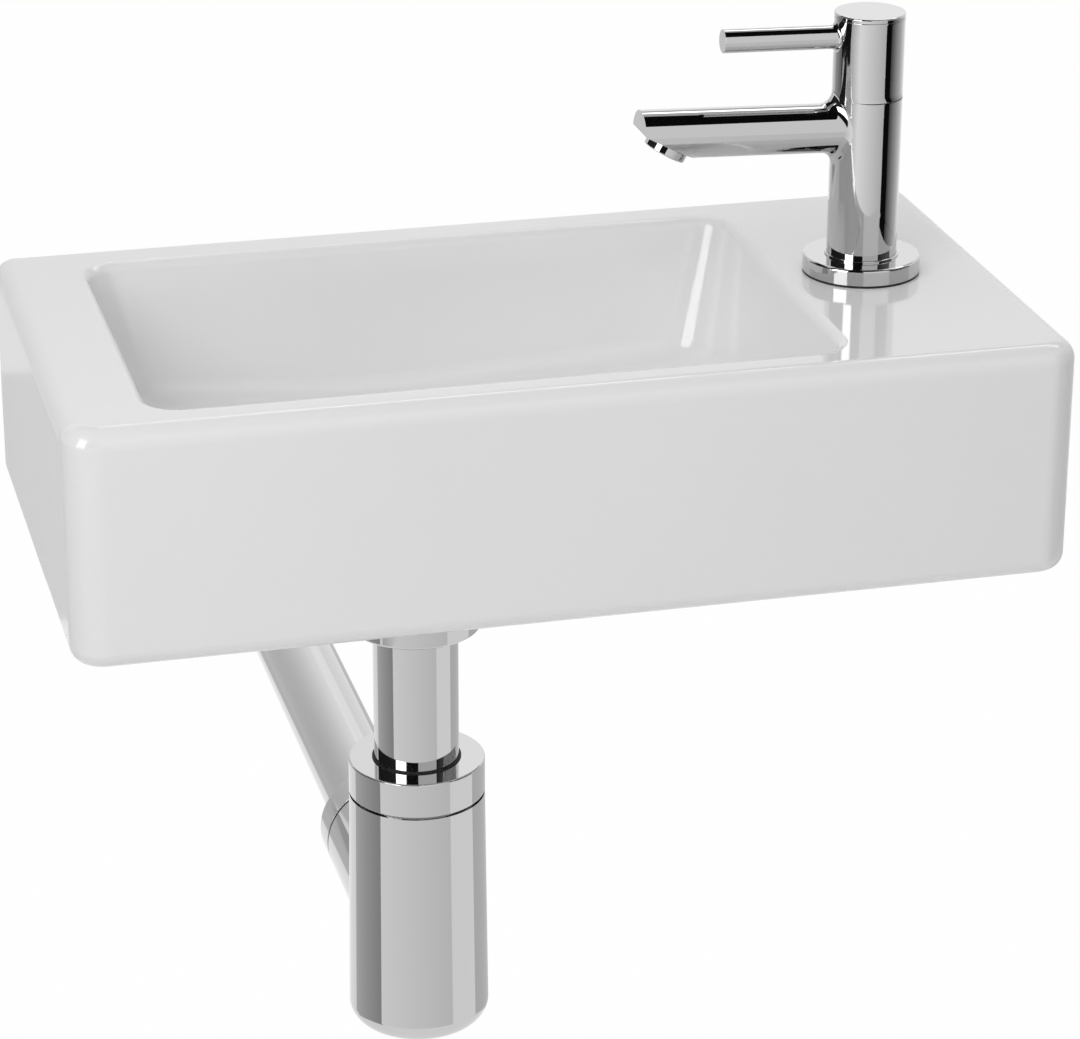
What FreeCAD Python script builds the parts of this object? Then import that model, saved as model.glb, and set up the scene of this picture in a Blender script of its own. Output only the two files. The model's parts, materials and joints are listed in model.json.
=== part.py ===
import FreeCAD, Part
import math
import os

# Wall hung hand basin with a pillar tap on its right deck and a bottle trap.
# Frame: the wall is the plane y = 0, the basin stands out towards -Y, +X is right
# and +Z up. The origin is midway between the two wall bolt holes, on the wall.

V = FreeCAD.Vector
UP = V(0, 0, 1)
TO_WALL = V(0, 1, 0)

# ---- Basin, millimetres ----
basin_width = 360.0
basin_depth = 187.0
basin_height = 87.0
skirt_wall = 9.0
back_wall = 9.0
deck_thickness = 12.0
bowl_shell = 8.0
front_corner_radius = 12.0
top_edge_radius = 7.0
bottom_edge_radius = 6.0
back_edge_radius = 1.5
hollow_corner_radius = 6.0
rim_left = 31.0
rim_front = 17.0
rim_back = 16.0
tap_deck_width = 82.0
bowl_end_depth = 52.0
bowl_drain_depth = 60.0
bowl_wall_lean = 11.5  # degrees from upright
bowl_mouth_corner = 12.0
bowl_floor_corner = 20.0
bowl_floor_radius = 13.0
bowl_mouth_radius = 4.0
floor_valley_radius = 420.0
near_floor = 0.5  # tells the edges of the bowl's floor from those of its walls
bolt_drop = 48.0  # wall bolts below the rim
bolt_from_side = 22.0
bolt_hole_radius = 7.0
drain_from_side = 139.0
drain_from_wall = 92.0
tap_from_side = 50.0
tap_from_wall = 89.0
tap_hole_radius = 16.0
waste_boss_radius = 36.0
waste_boss_height = 9.5
waste_recess_depth = 3.5
waste_recess_gap = 1.0  # round the flange

# ---- Fits ----
slide_fit = 0.05  # radial, shaft in its bore or thread in thread
loose_fit = 0.3  # radial, parts that pass without touching
face_gap = 0.3  # between a turning face and a fixed one
seam_gap = 0.35  # the shadow line at a screwed joint
disc_film = 0.01  # grease between the two lapped discs
seal_inset = 0.5  # a washer stops this far inside the edge of its seat
overcut = 5.0  # how far a cutting tool runs past the face it enters
nut_corner_turned = 0.6  # share of a hexagon nut's corner that is turned off

# ---- Tap ----
tap_radius = 13.0
tap_seam_height = 67.0
tap_shank_radius = 12.0  # M24 thread for the backnut
tap_shank_spare = 1.0  # thread left below the backnut
tap_tail_radius = 10.48  # G 1/2 thread for the supply
tap_tail_length = 22.0
tap_inlet_radius = 6.5
base_gasket_thickness = 0.9
base_gasket_inset = 0.1
base_ring_radius = 21.75
base_ring_height = 6.0
base_ring_floor = 2.2
base_ring_edge = 1.0
base_collar_width = 0.7
base_collar_height = 0.8
base_collar_edge = 0.3
spout_radius = 9.0
spout_reach = 86.0
spout_axis_height = 55.2
spout_rise = 2.0  # degrees
spout_blend_radius = 5.0
spout_bore_radius = 4.5
spout_cut_angle = 27.0  # degrees between the outlet face and the spout
spout_cut_start = -1.5  # below the axis at the tip: a minus sign puts it above
aerator_radius = 8.0
aerator_stick_out = 3.2
aerator_skirt_radius = 7.2
aerator_skirt_length = 6.0
aerator_bore_radius = 6.2
aerator_seal_thickness = 1.2
aerator_seal_bore = 5.0
aerator_drop = 4.0  # outlet centre below the spout axis
aerator_edge = 0.4
insert_thickness = 4.0
insert_recess = 0.6
insert_hole_radius = 0.6
insert_hole_pitch = 2.2
insert_hole_rings = 2

# ---- Ceramic disc headwork inside the tap ----
headwork_seat_height = 40.0
headwork_radius = 9.4
headwork_bore_radius = 8.05
headwork_foot_gap = 2.0
headwork_thread_radius = 10.45
headwork_thread_length = 4.5
headwork_hex_flats = 19.0
headwork_hex_height = 4.0
headwork_hex_sink = 2.0
headwork_neck_radius = 6.5
headwork_neck_height = 9.0
headwork_window_width = 9.0
headwork_window_height = 3.2
lip_seal_height = 3.5
lip_seal_bore = 5.6
lip_seal_taper = 0.8
disc_thickness = 3.0
disc_port_angle = 76.0  # degrees
disc_port_inner = 1.8
disc_port_outer = 6.6
drive_tongue_width = 3.0
drive_tongue_depth = 1.2
drive_tongue_inset = 1.5  # its ends stop this far inside the disc's rim
spindle_radius = 4.0
spindle_stem_radius = 2.6
spindle_flange_height = 2.4
spindle_spline_teeth = 14
spindle_spline_depth = 0.5
spindle_spline_length = 9.0
o_ring_section = 0.9

# ---- Handle ----
handle_height = 31.2
handle_disc_thickness = 2.0
handle_disc_edge = 0.5
handle_disc_spigot_radius = 6.0
handle_disc_spigot_length = 3.5
handle_hollow_height = 12.7
lever_radius = 4.3
lever_reach = 55.5
lever_axis_height = 89.4
lever_rise = 1.5  # degrees
lever_root_radius = 1.8
lever_tip_radius = 0.7
grub_radius = 2.5
grub_length = 7.0
grub_height = 85.0
grub_socket_flats = 2.5
grub_socket_depth = 3.0

# ---- Tap fixing under the deck ----
fixing_washer_radius = 20.0
rubber_washer_thickness = 2.5
steel_washer_thickness = 1.5
steel_washer_inset = 1.0
tap_nut_flats = 32.0
tap_nut_height = 7.0

# ---- Waste ----
waste_tail_radius = 20.95  # G 1 1/4 thread
waste_bore_radius = 18.0
waste_tail_length = 54.0
waste_hole_clearance = 1.6
waste_flange_radius = 31.5
waste_flange_thickness = 2.8
waste_flange_edge = 1.2
waste_dish_lip = 0.6
waste_dish_depth = 6.0
waste_dish_radius = 4.0
waste_seal_thickness = 1.5
waste_bridge_drop = 10.0
waste_bridge_height = 4.0
waste_bridge_width = 3.0
waste_bridge_root = 1.0  # let into the wall of the tail
waste_hub_radius = 5.5
waste_stem_radius = 3.0
waste_cover_radius = 27.0
waste_cover_lift = 5.0
waste_cover_edge = 1.6
waste_cover_edge_radius = 0.6
waste_cover_collar = 1.8
waste_cover_crown = 2.6
dome_share = 0.95  # the dome leaves a small flat in the middle
waste_lower_seal_thickness = 3.0
waste_nut_flats = 54.0
waste_nut_height = 9.0

# ---- Bottle trap ----
tube_radius = 16.0
tube_wall = 1.0
tube_flange_radius = 20.3
tube_flange_thickness = 1.9
union_radius = 24.5
union_height = 24.0
union_lip_thickness = 3.5
union_edge = 1.0
union_seal_thickness = 2.5
gland_top_drop = 178.3  # gland nut's top below the rim
gland_radius = 25.8
gland_height = 14.3
gland_lip_thickness = 3.0
gland_neck_radius = 23.4
gland_neck_bore = 17.0
gland_edge = 0.6
gland_seal_lip = 0.8
gland_seal_thickness = 2.6
gland_seal_show = 0.4
bottle_foot_radius = 27.0
bottle_height = 96.5
bottle_wall = 2.2
bottle_shoulder = 3.0
bottle_edge_radius = 8.0
bottle_floor_gap = 11.0  # dip tube's end above the bottle's floor
outlet_drop = 51.0  # outlet axis below the seam
outlet_radius = 23.0
outlet_reach = 60.0  # seam of the outlet, from the bottle's axis
outlet_socket_depth = 30.0
outlet_neck_radius = 20.4
outlet_neck_length = 9.8
outlet_nut_length = 15.6
outlet_lip_thickness = 3.0
outlet_nut_edge = 0.8
outlet_seal_thickness = 3.0
waste_pipe_behind_wall = 165.0
pipe_mark_width = 0.7  # rolled groove at the nut's face, which shows how deep the pipe sits
pipe_mark_depth = 0.2

# ---- Places that follow from the sizes ----
rim_z = bolt_drop
drain_x = drain_from_side - basin_width / 2
drain_y = -drain_from_wall
tap_x = basin_width / 2 - tap_from_side
tap_y = -tap_from_wall
bowl_left = rim_left - basin_width / 2
bowl_right = basin_width / 2 - tap_deck_width
bowl_back = -rim_back
bowl_front = rim_front - basin_depth
bowl_middle = V((bowl_left + bowl_right) / 2, (bowl_front + bowl_back) / 2, 0)


# ---- Helpers ----
def outline(points):
    """Closed wire in the XZ plane. A third number on a point rounds that corner."""
    count = len(points)
    flat = [V(p[0], 0, p[1]) for p in points]
    starts = []
    ends = []
    arcs = []
    for i, point in enumerate(points):
        corner = flat[i]
        if len(point) < 3:
            starts.append(corner)
            ends.append(corner)
            arcs.append(None)
            continue
        back = (flat[i - 1] - corner).normalize()
        ahead = (flat[(i + 1) % count] - corner).normalize()
        half = back.getAngle(ahead) / 2
        run = point[2] / math.tan(half)
        first = corner + back * run
        last = corner + ahead * run
        middle = corner + (back + ahead).normalize() * (point[2] / math.sin(half) - point[2])
        starts.append(first)
        ends.append(last)
        arcs.append(Part.Arc(first, middle, last).toShape())
    edges = []
    for i in range(count):
        if arcs[i]:
            edges.append(arcs[i])
        following = starts[(i + 1) % count]
        if (following - ends[i]).Length > 1e-6:
            edges.append(Part.LineSegment(ends[i], following).toShape())
    return Part.Wire(Part.__sortEdges__(edges))


def turned(points, base=V(0, 0, 0)):
    """Solid turned about the upright axis through base, from (radius, height) points."""
    face = Part.Face(outline(points))
    solid = face.revolve(V(0, 0, 0), UP, 360)
    solid.translate(base)
    return solid


def turned_to_wall(points, base):
    """Solid turned about the axis through base that runs to the wall."""
    solid = turned(points)
    solid.rotate(V(0, 0, 0), V(1, 0, 0), -90)
    solid.translate(base)
    return solid


def rod(radius, length, base, axis=UP):
    return Part.makeCylinder(radius, length, base, axis)


def ring(outer, inner, height, base, axis=UP):
    return rod(outer, height, base, axis).cut(rod(inner, height, base, axis))


def prism(corners, height, base):
    """Upright prism on a polygon of (x, y) corners about base."""
    points = [V(x, y, 0) + base for x, y in corners]
    return Part.Face(Part.makePolygon(points + points[:1])).extrude(UP * height)


def hexagon(flats, height, base):
    reach = flats / 2 / math.cos(math.pi / 6)
    angles = [math.pi / 3 * i for i in range(6)]
    corners = [(reach * math.cos(a), reach * math.sin(a)) for a in angles]
    return prism(corners, height, base)


def hex_nut(flats, bore, height, base):
    """Hexagon nut with the corners of both faces turned off."""
    reach = flats / 2 / math.cos(math.pi / 6)
    inner = flats / 2
    turn = (reach - inner) * nut_corner_turned
    blank = [(0, 0), (inner, 0), (reach, turn), (reach, height - turn), (inner, height), (0, height)]
    nut = hexagon(flats, height, base).common(turned(blank, base))
    return nut.cut(rod(bore, height, base))


def sector(inner, outer, angle, height, base, towards):
    """Block between two radii, angle degrees wide, centred on the direction towards."""
    block = ring(outer, inner, height, base)
    half = math.radians(angle / 2)
    far_x = outer * 2 * math.cos(half)
    far_y = outer * 2 * math.sin(half)
    cutter = prism([(0, 0), (far_x, -far_y), (far_x, far_y)], height, base)
    cutter.rotate(base, UP, towards)
    return block.common(cutter)


def rounded_rectangle(centre, half_x, half_y, radius, z):
    corners = [(-half_x, -half_y), (half_x, -half_y), (half_x, half_y), (-half_x, half_y)]
    wire = outline([(x, y, radius) for x, y in corners])
    wire.rotate(V(0, 0, 0), V(1, 0, 0), 90)
    wire.translate(V(centre.x, centre.y, z))
    return wire


def edges_where(shape, test):
    """Edges whose middle point passes the test."""
    found = []
    for edge in shape.Edges:
        middle = edge.valueAt((edge.FirstParameter + edge.LastParameter) / 2)
        if test(middle):
            found.append(edge)
    return found


def saddle_edges(shape):
    """Edges where two round bars run into each other, neither straight nor circular."""
    return [edge for edge in shape.Edges if not isinstance(edge.Curve, (Part.Line, Part.Circle))]


def near(a, b):
    return abs(a - b) < 1e-4


# ---- Basin ----
def basin_block():
    """The outer box with its rounded corners and edges. The back edges are nearly sharp."""
    corner = V(-basin_width / 2, -basin_depth, rim_z - basin_height)
    block = Part.makeBox(basin_width, basin_depth, basin_height, corner)
    middle_z = rim_z - basin_height / 2
    upright = edges_where(block, lambda m: near(m.z, middle_z) and near(m.y, -basin_depth))
    block = block.makeFillet(front_corner_radius, upright)
    top = edges_where(block, lambda m: near(m.z, rim_z) and m.y < -back_edge_radius)
    block = block.makeFillet(top_edge_radius, top)
    bottom = edges_where(block, lambda m: near(m.z, rim_z - basin_height) and m.y < -back_edge_radius)
    block = block.makeFillet(bottom_edge_radius, bottom)
    return block.makeFillet(back_edge_radius, edges_where(block, lambda m: near(m.y, 0)))


def bowl_section(z, grow):
    """Outline of the bowl at a height, with its walls moved out by grow."""
    below = rim_z - z
    lean = below * math.tan(math.radians(bowl_wall_lean))
    corner = bowl_mouth_corner + (bowl_floor_corner - bowl_mouth_corner) * below / bowl_drain_depth
    half_x = (bowl_right - bowl_left) / 2 - lean + grow
    half_y = (bowl_back - bowl_front) / 2 - lean + grow
    return rounded_rectangle(bowl_middle, half_x, half_y, corner + grow, z)


def bowl_form(grow):
    """The hollow of the bowl as a solid, with every face moved out by grow."""
    top_z = rim_z + overcut
    low_z = rim_z - bowl_drain_depth - grow - overcut
    walls = Part.makeLoft([bowl_section(top_z, grow), bowl_section(low_z, grow)], True, True)
    end_z = rim_z - grow - bowl_end_depth
    left = bowl_left - grow - overcut
    right = bowl_right + grow + overcut
    profile = [
        (left, end_z),
        (bowl_left, end_z),
        (drain_x, rim_z - grow - bowl_drain_depth, floor_valley_radius),
        (bowl_right, end_z),
        (right, end_z),
        (right, top_z + overcut),
        (left, top_z + overcut),
    ]
    floor = Part.Face(outline(profile)).extrude(TO_WALL * basin_depth)
    floor.translate(V(0, -basin_depth, 0))
    form = walls.common(floor)
    lean = bowl_end_depth * math.tan(math.radians(bowl_wall_lean))
    valley_x = (bowl_right - bowl_left) / 2 - lean - bowl_floor_radius
    valley_y = (bowl_back - bowl_front) / 2 - lean - bowl_floor_radius

    def meets_wall(m):
        beside = abs(m.x - bowl_middle.x) > valley_x or abs(m.y - bowl_middle.y) > valley_y
        return m.z < end_z + near_floor and beside

    return form.makeFillet(bowl_floor_radius + grow, edges_where(form, meets_wall))


def basin():
    hollow_x = basin_width / 2 - skirt_wall
    hollow_y = basin_depth - skirt_wall - back_wall
    hollow_z = basin_height - deck_thickness
    corner = V(-hollow_x, skirt_wall - basin_depth, rim_z - basin_height)
    hollow = Part.makeBox(hollow_x * 2, hollow_y, hollow_z, corner)
    upright = edges_where(hollow, lambda m: near(m.z, corner.z + hollow_z / 2))
    hollow = hollow.makeFillet(hollow_corner_radius, upright)
    hollow = hollow.cut(bowl_form(bowl_shell))
    shell = basin_block().cut(hollow)
    drain = V(drain_x, drain_y, rim_z - bowl_drain_depth)
    seat = drain - UP * waste_recess_depth
    boss = rod(waste_boss_radius, waste_boss_height, seat - UP * waste_boss_height)
    shell = shell.fuse(boss).cut(bowl_form(0))
    half_x = (bowl_right - bowl_left) / 2 + near_floor
    half_y = (bowl_back - bowl_front) / 2 + near_floor

    def on_mouth(m):
        return near(m.z, rim_z) and abs(m.x - bowl_middle.x) < half_x and abs(m.y - bowl_middle.y) < half_y

    shell = shell.makeFillet(bowl_mouth_radius, edges_where(shell, on_mouth))
    shell = shell.cut(rod(waste_flange_radius + waste_recess_gap, waste_recess_depth + overcut, seat))
    hole = waste_tail_radius + waste_hole_clearance
    shell = shell.cut(rod(hole, basin_height, drain - UP * basin_height))
    tap_hole = V(tap_x, tap_y, rim_z - deck_thickness - overcut)
    shell = shell.cut(rod(tap_hole_radius, deck_thickness + overcut * 2, tap_hole))
    for side in (-1, 1):
        start = V(side * (basin_width / 2 - bolt_from_side), -back_wall - overcut, 0)
        shell = shell.cut(rod(bolt_hole_radius, back_wall + overcut * 2, start, TO_WALL))
    return shell


# ---- Tap body, base and aerator ----
tap_base = V(tap_x, tap_y, rim_z)
ring_foot = base_gasket_thickness + base_ring_floor
spout_tilt = math.radians(spout_rise)
spout_way = V(-math.cos(spout_tilt), 0, math.sin(spout_tilt))
spout_up = V(math.sin(spout_tilt), 0, math.cos(spout_tilt))
spout_start = tap_base + UP * spout_axis_height
cut_tilt = math.radians(spout_cut_angle)
outlet_way = spout_way * math.sin(cut_tilt) - spout_up * math.cos(cut_tilt)
outlet_along = spout_way * -math.cos(cut_tilt) - spout_up * math.sin(cut_tilt)
cut_corner = spout_start + spout_way * spout_reach - spout_up * spout_cut_start
outlet_centre = cut_corner + outlet_along * ((aerator_drop - spout_cut_start) / math.sin(cut_tilt))
pocket_depth = aerator_skirt_length + aerator_seal_thickness
cavity_radius = headwork_thread_radius + slide_fit
hex_reach = headwork_hex_flats / 2 / math.cos(math.pi / 6)
hex_foot = tap_seam_height - headwork_hex_sink
fixing_height = rubber_washer_thickness + steel_washer_thickness + tap_nut_height
shank_length = deck_thickness + fixing_height + tap_shank_spare


def outlet_cutter():
    """Block that takes off the underside of the spout's tip, square to the water's way."""
    half_side = V(0, spout_radius * 2, 0)
    past_tip = cut_corner - outlet_along * spout_radius * 2
    past_heel = cut_corner + outlet_along * spout_radius * 6
    corners = [past_tip - half_side, past_heel - half_side, past_heel + half_side, past_tip + half_side]
    face = Part.Face(Part.makePolygon(corners + corners[:1]))
    return face.extrude(outlet_way * spout_radius * 4)


def tap_body():
    """Column and spout in one casting, with a soft blend where they meet."""
    overlap = spout_blend_radius * 3
    column = rod(tap_radius, tap_seam_height + overlap - ring_foot, tap_base + UP * ring_foot)
    spout = rod(spout_radius, spout_reach, spout_start, spout_way)
    body = column.fuse(spout).removeSplitter()
    body = body.makeFillet(spout_blend_radius, saddle_edges(body))
    top = tap_base + UP * tap_seam_height
    body = body.cut(rod(tap_radius * 2, overlap * 2, top)).cut(outlet_cutter())
    body = body.fuse(rod(tap_shank_radius, shank_length + ring_foot, tap_base - UP * shank_length))
    tail_foot = tap_base - UP * (shank_length + tap_tail_length)
    body = body.fuse(rod(tap_tail_radius, tap_tail_length, tail_foot))
    body = body.cut(rod(tap_inlet_radius, shank_length + tap_tail_length + headwork_seat_height, tail_foot))
    seat = tap_base + UP * headwork_seat_height
    body = body.cut(rod(cavity_radius, tap_seam_height, seat))
    body = body.cut(rod(hex_reach + loose_fit, tap_seam_height, tap_base + UP * hex_foot))
    bore_reach = spout_reach - aerator_drop / math.sin(cut_tilt) - spout_bore_radius
    body = body.cut(rod(spout_bore_radius, bore_reach, spout_start, spout_way))
    return body.cut(rod(aerator_skirt_radius + slide_fit, pocket_depth, outlet_centre, outlet_way * -1))


def tap_base_gasket():
    outer = base_ring_radius - base_gasket_inset
    return ring(outer, tap_shank_radius + slide_fit, base_gasket_thickness, tap_base)


def tap_base_ring():
    outer = base_ring_radius
    top = base_ring_height
    seat = tap_radius + slide_fit
    collar = seat + base_collar_width
    points = [
        (tap_shank_radius + slide_fit, 0),
        (outer, 0),
        (outer, top, base_ring_edge),
        (collar, top),
        (collar, top + base_collar_height, base_collar_edge),
        (seat, top + base_collar_height),
        (seat, base_ring_floor),
        (tap_shank_radius + slide_fit, base_ring_floor),
    ]
    return turned(points, tap_base + UP * base_gasket_thickness)


def aim_at_outlet(solid):
    """Turn a solid made upright, so that its top leaves along the water's way."""
    turn = FreeCAD.Rotation(UP, outlet_way)
    solid.Placement = FreeCAD.Placement(outlet_centre, turn)
    return solid


def aerator_housing():
    points = [
        (aerator_bore_radius, -aerator_skirt_length),
        (aerator_skirt_radius, -aerator_skirt_length),
        (aerator_skirt_radius, 0),
        (aerator_radius, 0),
        (aerator_radius, aerator_stick_out, aerator_edge),
        (aerator_bore_radius, aerator_stick_out, aerator_edge),
    ]
    return aim_at_outlet(turned(points))


def aerator_insert():
    """Flow straightener: a disc with rings of holes."""
    top = aerator_stick_out - insert_recess
    base = V(0, 0, top - insert_thickness)
    disc = rod(aerator_bore_radius - slide_fit, insert_thickness, base)
    for circle in range(insert_hole_rings + 1):
        count = max(1, 6 * circle)
        for i in range(count):
            angle = 2 * math.pi * i / count
            out = V(math.cos(angle), math.sin(angle), 0) * insert_hole_pitch * circle
            disc = disc.cut(rod(insert_hole_radius, insert_thickness, base + out))
    return aim_at_outlet(disc)


def aerator_seal():
    base = V(0, 0, -pocket_depth)
    return aim_at_outlet(ring(aerator_skirt_radius, aerator_seal_bore, aerator_seal_thickness, base))


# ---- Headwork ----
fixed_disc_z = headwork_seat_height + lip_seal_height
turning_disc_z = fixed_disc_z + disc_thickness + disc_film
chamber_z = turning_disc_z + disc_thickness
flange_z = chamber_z + headwork_window_height + face_gap
shoulder_z = flange_z + spindle_flange_height + slide_fit
hex_top = hex_foot + headwork_hex_height
neck_top = hex_top + headwork_neck_height
handle_foot = tap_seam_height + face_gap
spindle_top = handle_foot + handle_hollow_height + spindle_spline_length
turning_radius = headwork_bore_radius - loose_fit


def headwork_body():
    foot = headwork_seat_height + headwork_foot_gap
    thread_z = hex_foot - headwork_thread_length
    spindle_bore = spindle_radius + slide_fit
    points = [
        (headwork_bore_radius, foot),
        (headwork_radius, foot),
        (headwork_radius, thread_z),
        (headwork_thread_radius, thread_z),
        (headwork_thread_radius, hex_foot),
        (headwork_neck_radius, hex_foot),
        (headwork_neck_radius, neck_top),
        (spindle_bore, neck_top),
        (spindle_bore, shoulder_z),
        (headwork_bore_radius, shoulder_z),
    ]
    body = turned(points, tap_base)
    hex_base = tap_base + UP * hex_foot
    hexed = hexagon(headwork_hex_flats, headwork_hex_height, hex_base)
    body = body.fuse(hexed.cut(rod(headwork_neck_radius, headwork_hex_height, hex_base)))
    width = headwork_window_width
    window = Part.makeBox(headwork_radius * 4, width, headwork_window_height)
    window.translate(tap_base + V(-headwork_radius * 2, -width / 2, chamber_z))
    return body.cut(window)


def headwork_lip_seal():
    points = [
        (lip_seal_bore, 0),
        (turning_radius, 0),
        (turning_radius, lip_seal_height),
        (lip_seal_bore + lip_seal_taper, lip_seal_height),
    ]
    return turned(points, tap_base + UP * headwork_seat_height)


def disc_with_ports(radius, z, first_port):
    """Ceramic disc with two opposite sector ports."""
    base = tap_base + UP * z
    disc = rod(radius, disc_thickness, base)
    for towards in (first_port, first_port + 180):
        port = sector(disc_port_inner, disc_port_outer, disc_port_angle, disc_thickness, base, towards)
        disc = disc.cut(port)
    return disc


def fixed_disc():
    return disc_with_ports(headwork_bore_radius - slide_fit, fixed_disc_z, 90)


def tongue(width, z):
    """Bar across the stem that turns the disc."""
    length = (turning_radius - drive_tongue_inset) * 2
    bar = Part.makeBox(width, length, drive_tongue_depth)
    bar.translate(tap_base + V(-width / 2, -length / 2, z))
    return bar


def turning_disc():
    disc = disc_with_ports(turning_radius, turning_disc_z, 0)
    groove = tongue(drive_tongue_width + slide_fit * 2, chamber_z - drive_tongue_depth)
    long_groove = tongue(drive_tongue_width + slide_fit * 2, chamber_z)
    return disc.cut(groove).cut(long_groove)


def spline(radius, depth, length, base):
    """Serrated bar that keys the handle to the spindle."""
    corners = []
    for i in range(spindle_spline_teeth * 2):
        reach = radius if i % 2 == 0 else radius - depth
        angle = math.pi * i / spindle_spline_teeth
        corners.append((reach * math.cos(angle), reach * math.sin(angle)))
    return prism(corners, length, base)


def o_ring_height():
    return hex_top + headwork_neck_height / 2


def spindle():
    groove = o_ring_height()
    half = o_ring_section + slide_fit
    root = spindle_radius - o_ring_section * 2
    spline_z = spindle_top - spindle_spline_length
    points = [
        (0, chamber_z + slide_fit),
        (spindle_stem_radius, chamber_z + slide_fit),
        (spindle_stem_radius, flange_z),
        (turning_radius, flange_z),
        (turning_radius, flange_z + spindle_flange_height),
        (spindle_radius, flange_z + spindle_flange_height),
        (spindle_radius, groove - half),
        (root, groove - half),
        (root, groove + half),
        (spindle_radius, groove + half),
        (spindle_radius, spline_z),
        (0, spline_z),
    ]
    bar = turned(points, tap_base)
    spline_foot = tap_base + UP * spline_z
    bar = bar.fuse(spline(spindle_radius, spindle_spline_depth, spindle_spline_length, spline_foot))
    return bar.fuse(tongue(drive_tongue_width, chamber_z - drive_tongue_depth + slide_fit))


def spindle_o_ring():
    centre = tap_base + UP * o_ring_height()
    return Part.makeTorus(spindle_radius - o_ring_section, o_ring_section, centre)


# ---- Handle ----
lever_tilt = math.radians(lever_rise)
lever_way = V(-math.cos(lever_tilt), 0, math.sin(lever_tilt))
cap_height = handle_height - handle_disc_thickness


def handle():
    """Cap and lever in one piece, hollow from below over the headwork."""
    foot = tap_base + UP * handle_foot
    cap = rod(tap_radius, cap_height, foot)
    lever_start = tap_base + UP * lever_axis_height
    lever = rod(lever_radius, lever_reach, lever_start, lever_way)
    rims = [edge for edge in lever.Edges if isinstance(edge.Curve, Part.Circle)]
    tip = [edge for edge in rims if not near(edge.Curve.Center.x, tap_x)]
    lever = lever.makeFillet(lever_tip_radius, tip)
    body = cap.fuse(lever).removeSplitter()
    body = body.makeFillet(lever_root_radius, saddle_edges(body))
    body = body.cut(rod(hex_reach + loose_fit, handle_hollow_height, foot))
    socket = foot + UP * handle_hollow_height
    depth = spindle_spline_length + face_gap
    body = body.cut(spline(spindle_radius + slide_fit, spindle_spline_depth, depth, socket))
    disc_seat = foot + UP * (cap_height - handle_disc_spigot_length)
    body = body.cut(rod(handle_disc_spigot_radius + slide_fit, handle_disc_spigot_length, disc_seat))
    return body.cut(rod(grub_radius + slide_fit, tap_radius, tap_base + UP * grub_height, V(1, 0, 0)))


def handle_top_disc():
    spigot = handle_disc_spigot_length - face_gap
    points = [
        (0, -spigot),
        (handle_disc_spigot_radius, -spigot),
        (handle_disc_spigot_radius, 0),
        (tap_radius - handle_disc_edge, 0),
        (tap_radius, handle_disc_edge),
        (tap_radius, handle_disc_thickness, handle_disc_edge),
        (0, handle_disc_thickness),
    ]
    return turned(points, tap_base + UP * (handle_foot + cap_height))


def handle_grub_screw():
    start = tap_base + UP * grub_height + V(spindle_radius + slide_fit * 2, 0, 0)
    screw = rod(grub_radius, grub_length, start, V(1, 0, 0))
    socket = hexagon(grub_socket_flats, grub_socket_depth, V(0, 0, 0))
    socket.rotate(V(0, 0, 0), V(0, 1, 0), 90)
    socket.translate(start + V(grub_length - grub_socket_depth, 0, 0))
    return screw.cut(socket)


# ---- Tap fixing ----
deck_underside = tap_base - UP * deck_thickness


def tap_rubber_washer():
    base = deck_underside - UP * rubber_washer_thickness
    return ring(fixing_washer_radius, tap_shank_radius + slide_fit, rubber_washer_thickness, base)


def tap_steel_washer():
    base = deck_underside - UP * (rubber_washer_thickness + steel_washer_thickness)
    outer = fixing_washer_radius - steel_washer_inset
    return ring(outer, tap_shank_radius + slide_fit, steel_washer_thickness, base)


def tap_backnut():
    base = deck_underside - UP * fixing_height
    return hex_nut(tap_nut_flats, tap_shank_radius + slide_fit, tap_nut_height, base)


# ---- Waste ----
drain_axis = V(drain_x, drain_y, rim_z)
recess_floor = -bowl_drain_depth - waste_recess_depth
flange_foot = recess_floor + waste_seal_thickness
flange_top = flange_foot + waste_flange_thickness
boss_foot = recess_floor - waste_boss_height
tail_foot = flange_foot - waste_tail_length
bridge_top = flange_top - waste_bridge_drop
bridge_foot = bridge_top - waste_bridge_height


def waste_body():
    """Flange, threaded tail and the cross bridge that carries the cover."""
    points = [
        (waste_bore_radius, tail_foot),
        (waste_tail_radius, tail_foot),
        (waste_tail_radius, flange_foot),
        (waste_flange_radius, flange_foot),
        (waste_flange_radius, flange_top, waste_flange_edge),
        (waste_tail_radius, flange_top - waste_dish_lip, waste_dish_radius),
        (waste_bore_radius, flange_top - waste_dish_depth, waste_dish_radius),
    ]
    body = turned(points, drain_axis)
    base = drain_axis + UP * bridge_foot
    bar = waste_bore_radius + waste_bridge_root
    for size_x, size_y in ((bar, waste_bridge_width / 2), (waste_bridge_width / 2, bar)):
        bridge = Part.makeBox(size_x * 2, size_y * 2, waste_bridge_height)
        bridge.translate(base - V(size_x, size_y, 0))
        body = body.fuse(bridge)
    body = body.fuse(rod(waste_hub_radius, waste_bridge_height, base))
    return body.cut(rod(waste_stem_radius + slide_fit, waste_bridge_height, base))


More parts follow.
